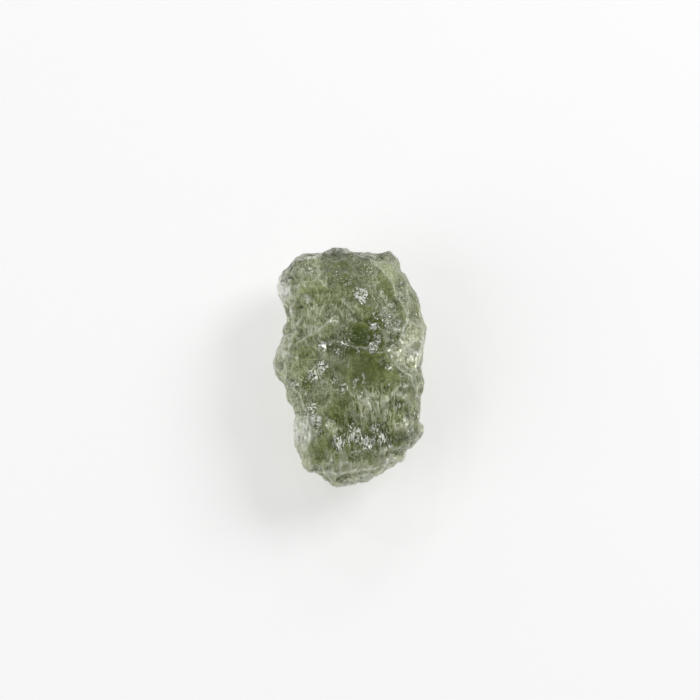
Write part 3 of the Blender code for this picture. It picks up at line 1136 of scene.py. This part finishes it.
class MOLDAVITE_OT_stone(bpy.types.Operator):
    """Builds the stone with its fine relief and its glass, in place of the plain solid"""

    bl_idname = "moldavite.stone"
    bl_label = "Build the stone"
    bl_options = {"REGISTER", "UNDO"}

    def execute(self, context):
        scene = context.scene
        bm = bmesh.new()
        starts, rays = blown_cube(bm, GRID_CUTS)
        move_verts(bm, stone_points(starts, rays))
        skin = etched_skin(bm, scene.moldavite_stone)
        for name in skin:
            bm.verts.layers.float.new(name)
        for name, values in skin.items():
            layer = bm.verts.layers.float[name]
            for vert, value in zip(bm.verts, values):
                vert[layer] = value
        placed = set_down(bm)
        mesh = bpy.data.meshes.new("moldavite_stone")
        bm.to_mesh(mesh)
        bm.free()
        mesh.shade_smooth()
        mesh.materials.append(glass(scene.moldavite_glass))
        stone = bpy.data.objects.new("moldavite_stone", mesh)
        stone["face_frame"] = [x for row in placed for x in row]
        scene.collection.objects.link(stone)
        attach(stone, "root")
        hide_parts("moldavite")
        return {"FINISHED"}


# The photograph's frame, in its own pixels, and how large one is at the stone.
FRAME_WIDTH_PX = 700
CORE_PX = (349.7, 366.5)  # where the stone's core lies in it
MM_PER_PX = 0.0753
CLIP_START = 0.01

TABLE_SIZE = 3.0
TABLE_GAP = 0.03 * MM  # between the table and the stone's flat
TABLE_CLOUDS = 0.02
TABLE_SHADE = 0.99  # how dark the table's clouds are
TABLE_ROUGHNESS = 0.6

# Direction from the stone, and size of each lamp.
RIGHT_LAMP = ((0.70, 0.40, 0.68), 0.16)
LEFT_LAMP = ((-0.80, -0.32, 0.50), 0.30)
GLINT_LAMPS = [
    ((-0.15, 0.70, 0.60), 0.025),
    ((0.15, 0.80, 0.50), 0.025),
    ((-0.50, 0.45, 0.70), 0.025),
]
LAMP_FAR = 0.35

# Where the low light fades out and the dark patch comes in, as cosines of the angle from overhead.
LOW_LIGHT = (0.05, 0.45)
DARK_PATCH = (0.77, 0.98)
BOUNCES = {"max_bounces": 24, "transmission_bounces": 20, "glossy_bounces": 16}


def table(colour, glow):
    """A plain pale table under the stone, which light comes up through."""
    bm = bmesh.new()
    bmesh.ops.create_grid(bm, x_segments=1, y_segments=1, size=TABLE_SIZE / 2)
    mesh = bpy.data.meshes.new("table")
    bm.to_mesh(mesh)
    bm.free()
    material = bpy.data.materials.new("pale_table")
    tree = Tree(material)
    place = tree.add("ShaderNodeTexCoord", output="Object")
    cloudy = tree.noise(place, TABLE_CLOUDS)
    inputs = {
        "Base Color": tree.blend(cloudy, [TABLE_SHADE * c for c in colour], colour),
        "Roughness": TABLE_ROUGHNESS,
        "Emission Color": (1, 1, 1, 1),
        "Emission Strength": glow,
    }
    finish = tree.add("ShaderNodeBsdfPrincipled", None, inputs)
    tree.add("ShaderNodeOutputMaterial", None, {"Surface": finish})
    mesh.materials.append(material)
    top = bpy.data.objects.new("table", mesh)
    top.location.z = -TABLE_GAP
    bpy.context.scene.collection.objects.link(top)


def aim(thing, place, target):
    """Puts a lamp or the camera at a place, looking at a target, with its own top towards +Y."""
    thing.location = place
    thing.rotation_euler = (Vector(target) - Vector(place)).to_track_quat("-Z", "Y").to_euler()
    bpy.context.scene.collection.objects.link(thing)


def lamp(name, direction, size, power):
    """A square soft box that faces the stone."""
    light = bpy.data.lights.new(name, "AREA")
    light.size = size
    light.energy = power
    aim(bpy.data.objects.new(name, light), Vector(direction).normalized() * LAMP_FAR, (0, 0, 0))


def room(plan, overhead):
    """Even white light from all round, stronger near the horizon and darker overhead."""
    world = bpy.data.worlds.new("room")
    tree = Tree(world)
    way = tree.add("ShaderNodeTexCoord", output="Generated")
    up = tree.add("ShaderNodeVectorMath", {"operation": "DOT_PRODUCT"}, {0: way, 1: overhead}, "Value")
    low = 1 - up.between(*LOW_LIGHT)
    light = (1 - up.between(*DARK_PATCH) * plan.patch) * plan.sky + low * plan.horizon
    sky = tree.add("ShaderNodeBackground", None, {"Color": (1, 1, 1, 1), "Strength": light})
    tree.add("ShaderNodeOutputWorld", None, {"Surface": sky})
    return world


class MOLDAVITE_OT_stage(bpy.types.Operator):
    """Lays the table, sets the lamps and points the camera at the stone"""

    bl_idname = "moldavite.stage"
    bl_label = "Set the stage"
    bl_options = {"REGISTER", "UNDO"}

    def execute(self, context):
        scene = context.scene
        plan = scene.moldavite_stage
        stone = bpy.data.objects.get("moldavite_stone")
        if stone is None:
            raise RuntimeError("Build the stone first: the camera is aimed by it")
        table(plan.table_colour, plan.table_glow)
        lamp("right_lamp", *RIGHT_LAMP, plan.right_power)
        lamp("left_lamp", *LEFT_LAMP, plan.left_power)
        for i, (direction, size) in enumerate(GLINT_LAMPS):
            lamp(f"glint_lamp_{i}", direction, size, plan.glint_power)
        rows = list(stone["face_frame"])
        placed = Matrix([rows[i : i + 4] for i in range(0, 16, 4)])
        scene.world = room(plan, placed.col[2].xyz.normalized())
        middle = FRAME_WIDTH_PX / 2
        target_u = (middle - CORE_PX[0]) * MM_PER_PX
        target_v = (CORE_PX[1] - middle) * MM_PER_PX
        data = bpy.data.cameras.new("camera")
        data.lens = plan.lens
        data.clip_start = CLIP_START
        far = FRAME_WIDTH_PX * MM_PER_PX * plan.lens / data.sensor_width
        camera = bpy.data.objects.new("camera", data)
        aim(camera, placed @ Vector((target_u, target_v, far)), placed @ Vector((target_u, target_v, 0)))
        scene.camera = camera
        scene.view_settings.view_transform = "Standard"
        for name, most in BOUNCES.items():
            setattr(scene.cycles, name, most)
        return {"FINISHED"}


class MOLDAVITE_PT_panel(bpy.types.Panel):
    """Lists the stone and the stage with their settings"""

    bl_idname = "MOLDAVITE_PT_panel"
    bl_label = "Moldavite"
    bl_space_type = "VIEW_3D"
    bl_region_type = "UI"
    bl_category = "Moldavite"

    def draw(self, context):
        scene = context.scene
        for operator, plans in (
            (MOLDAVITE_OT_stone, (scene.moldavite_stone, scene.moldavite_glass)),
            (MOLDAVITE_OT_stage, (scene.moldavite_stage,)),
        ):
            box = self.layout.box()
            box.operator(operator.bl_idname)
            for plan in plans:
                for name in plan.__annotations__:
                    box.prop(plan, name)


CLASSES = (
    StonePlan,
    GlassPlan,
    StagePlan,
    MOLDAVITE_OT_stone,
    MOLDAVITE_OT_stage,
    MOLDAVITE_PT_panel,
)


def register():
    for cls in CLASSES:
        bpy.utils.register_class(cls)
    bpy.types.Scene.moldavite_stone = PointerProperty(type=StonePlan)
    bpy.types.Scene.moldavite_glass = PointerProperty(type=GlassPlan)
    bpy.types.Scene.moldavite_stage = PointerProperty(type=StagePlan)


def unregister():
    del bpy.types.Scene.moldavite_stage
    del bpy.types.Scene.moldavite_glass
    del bpy.types.Scene.moldavite_stone
    for cls in reversed(CLASSES):
        bpy.utils.unregister_class(cls)


def main():
    register()
    bpy.ops.moldavite.stone()
    bpy.ops.moldavite.stage()


if __name__ == "__main__":
    main()
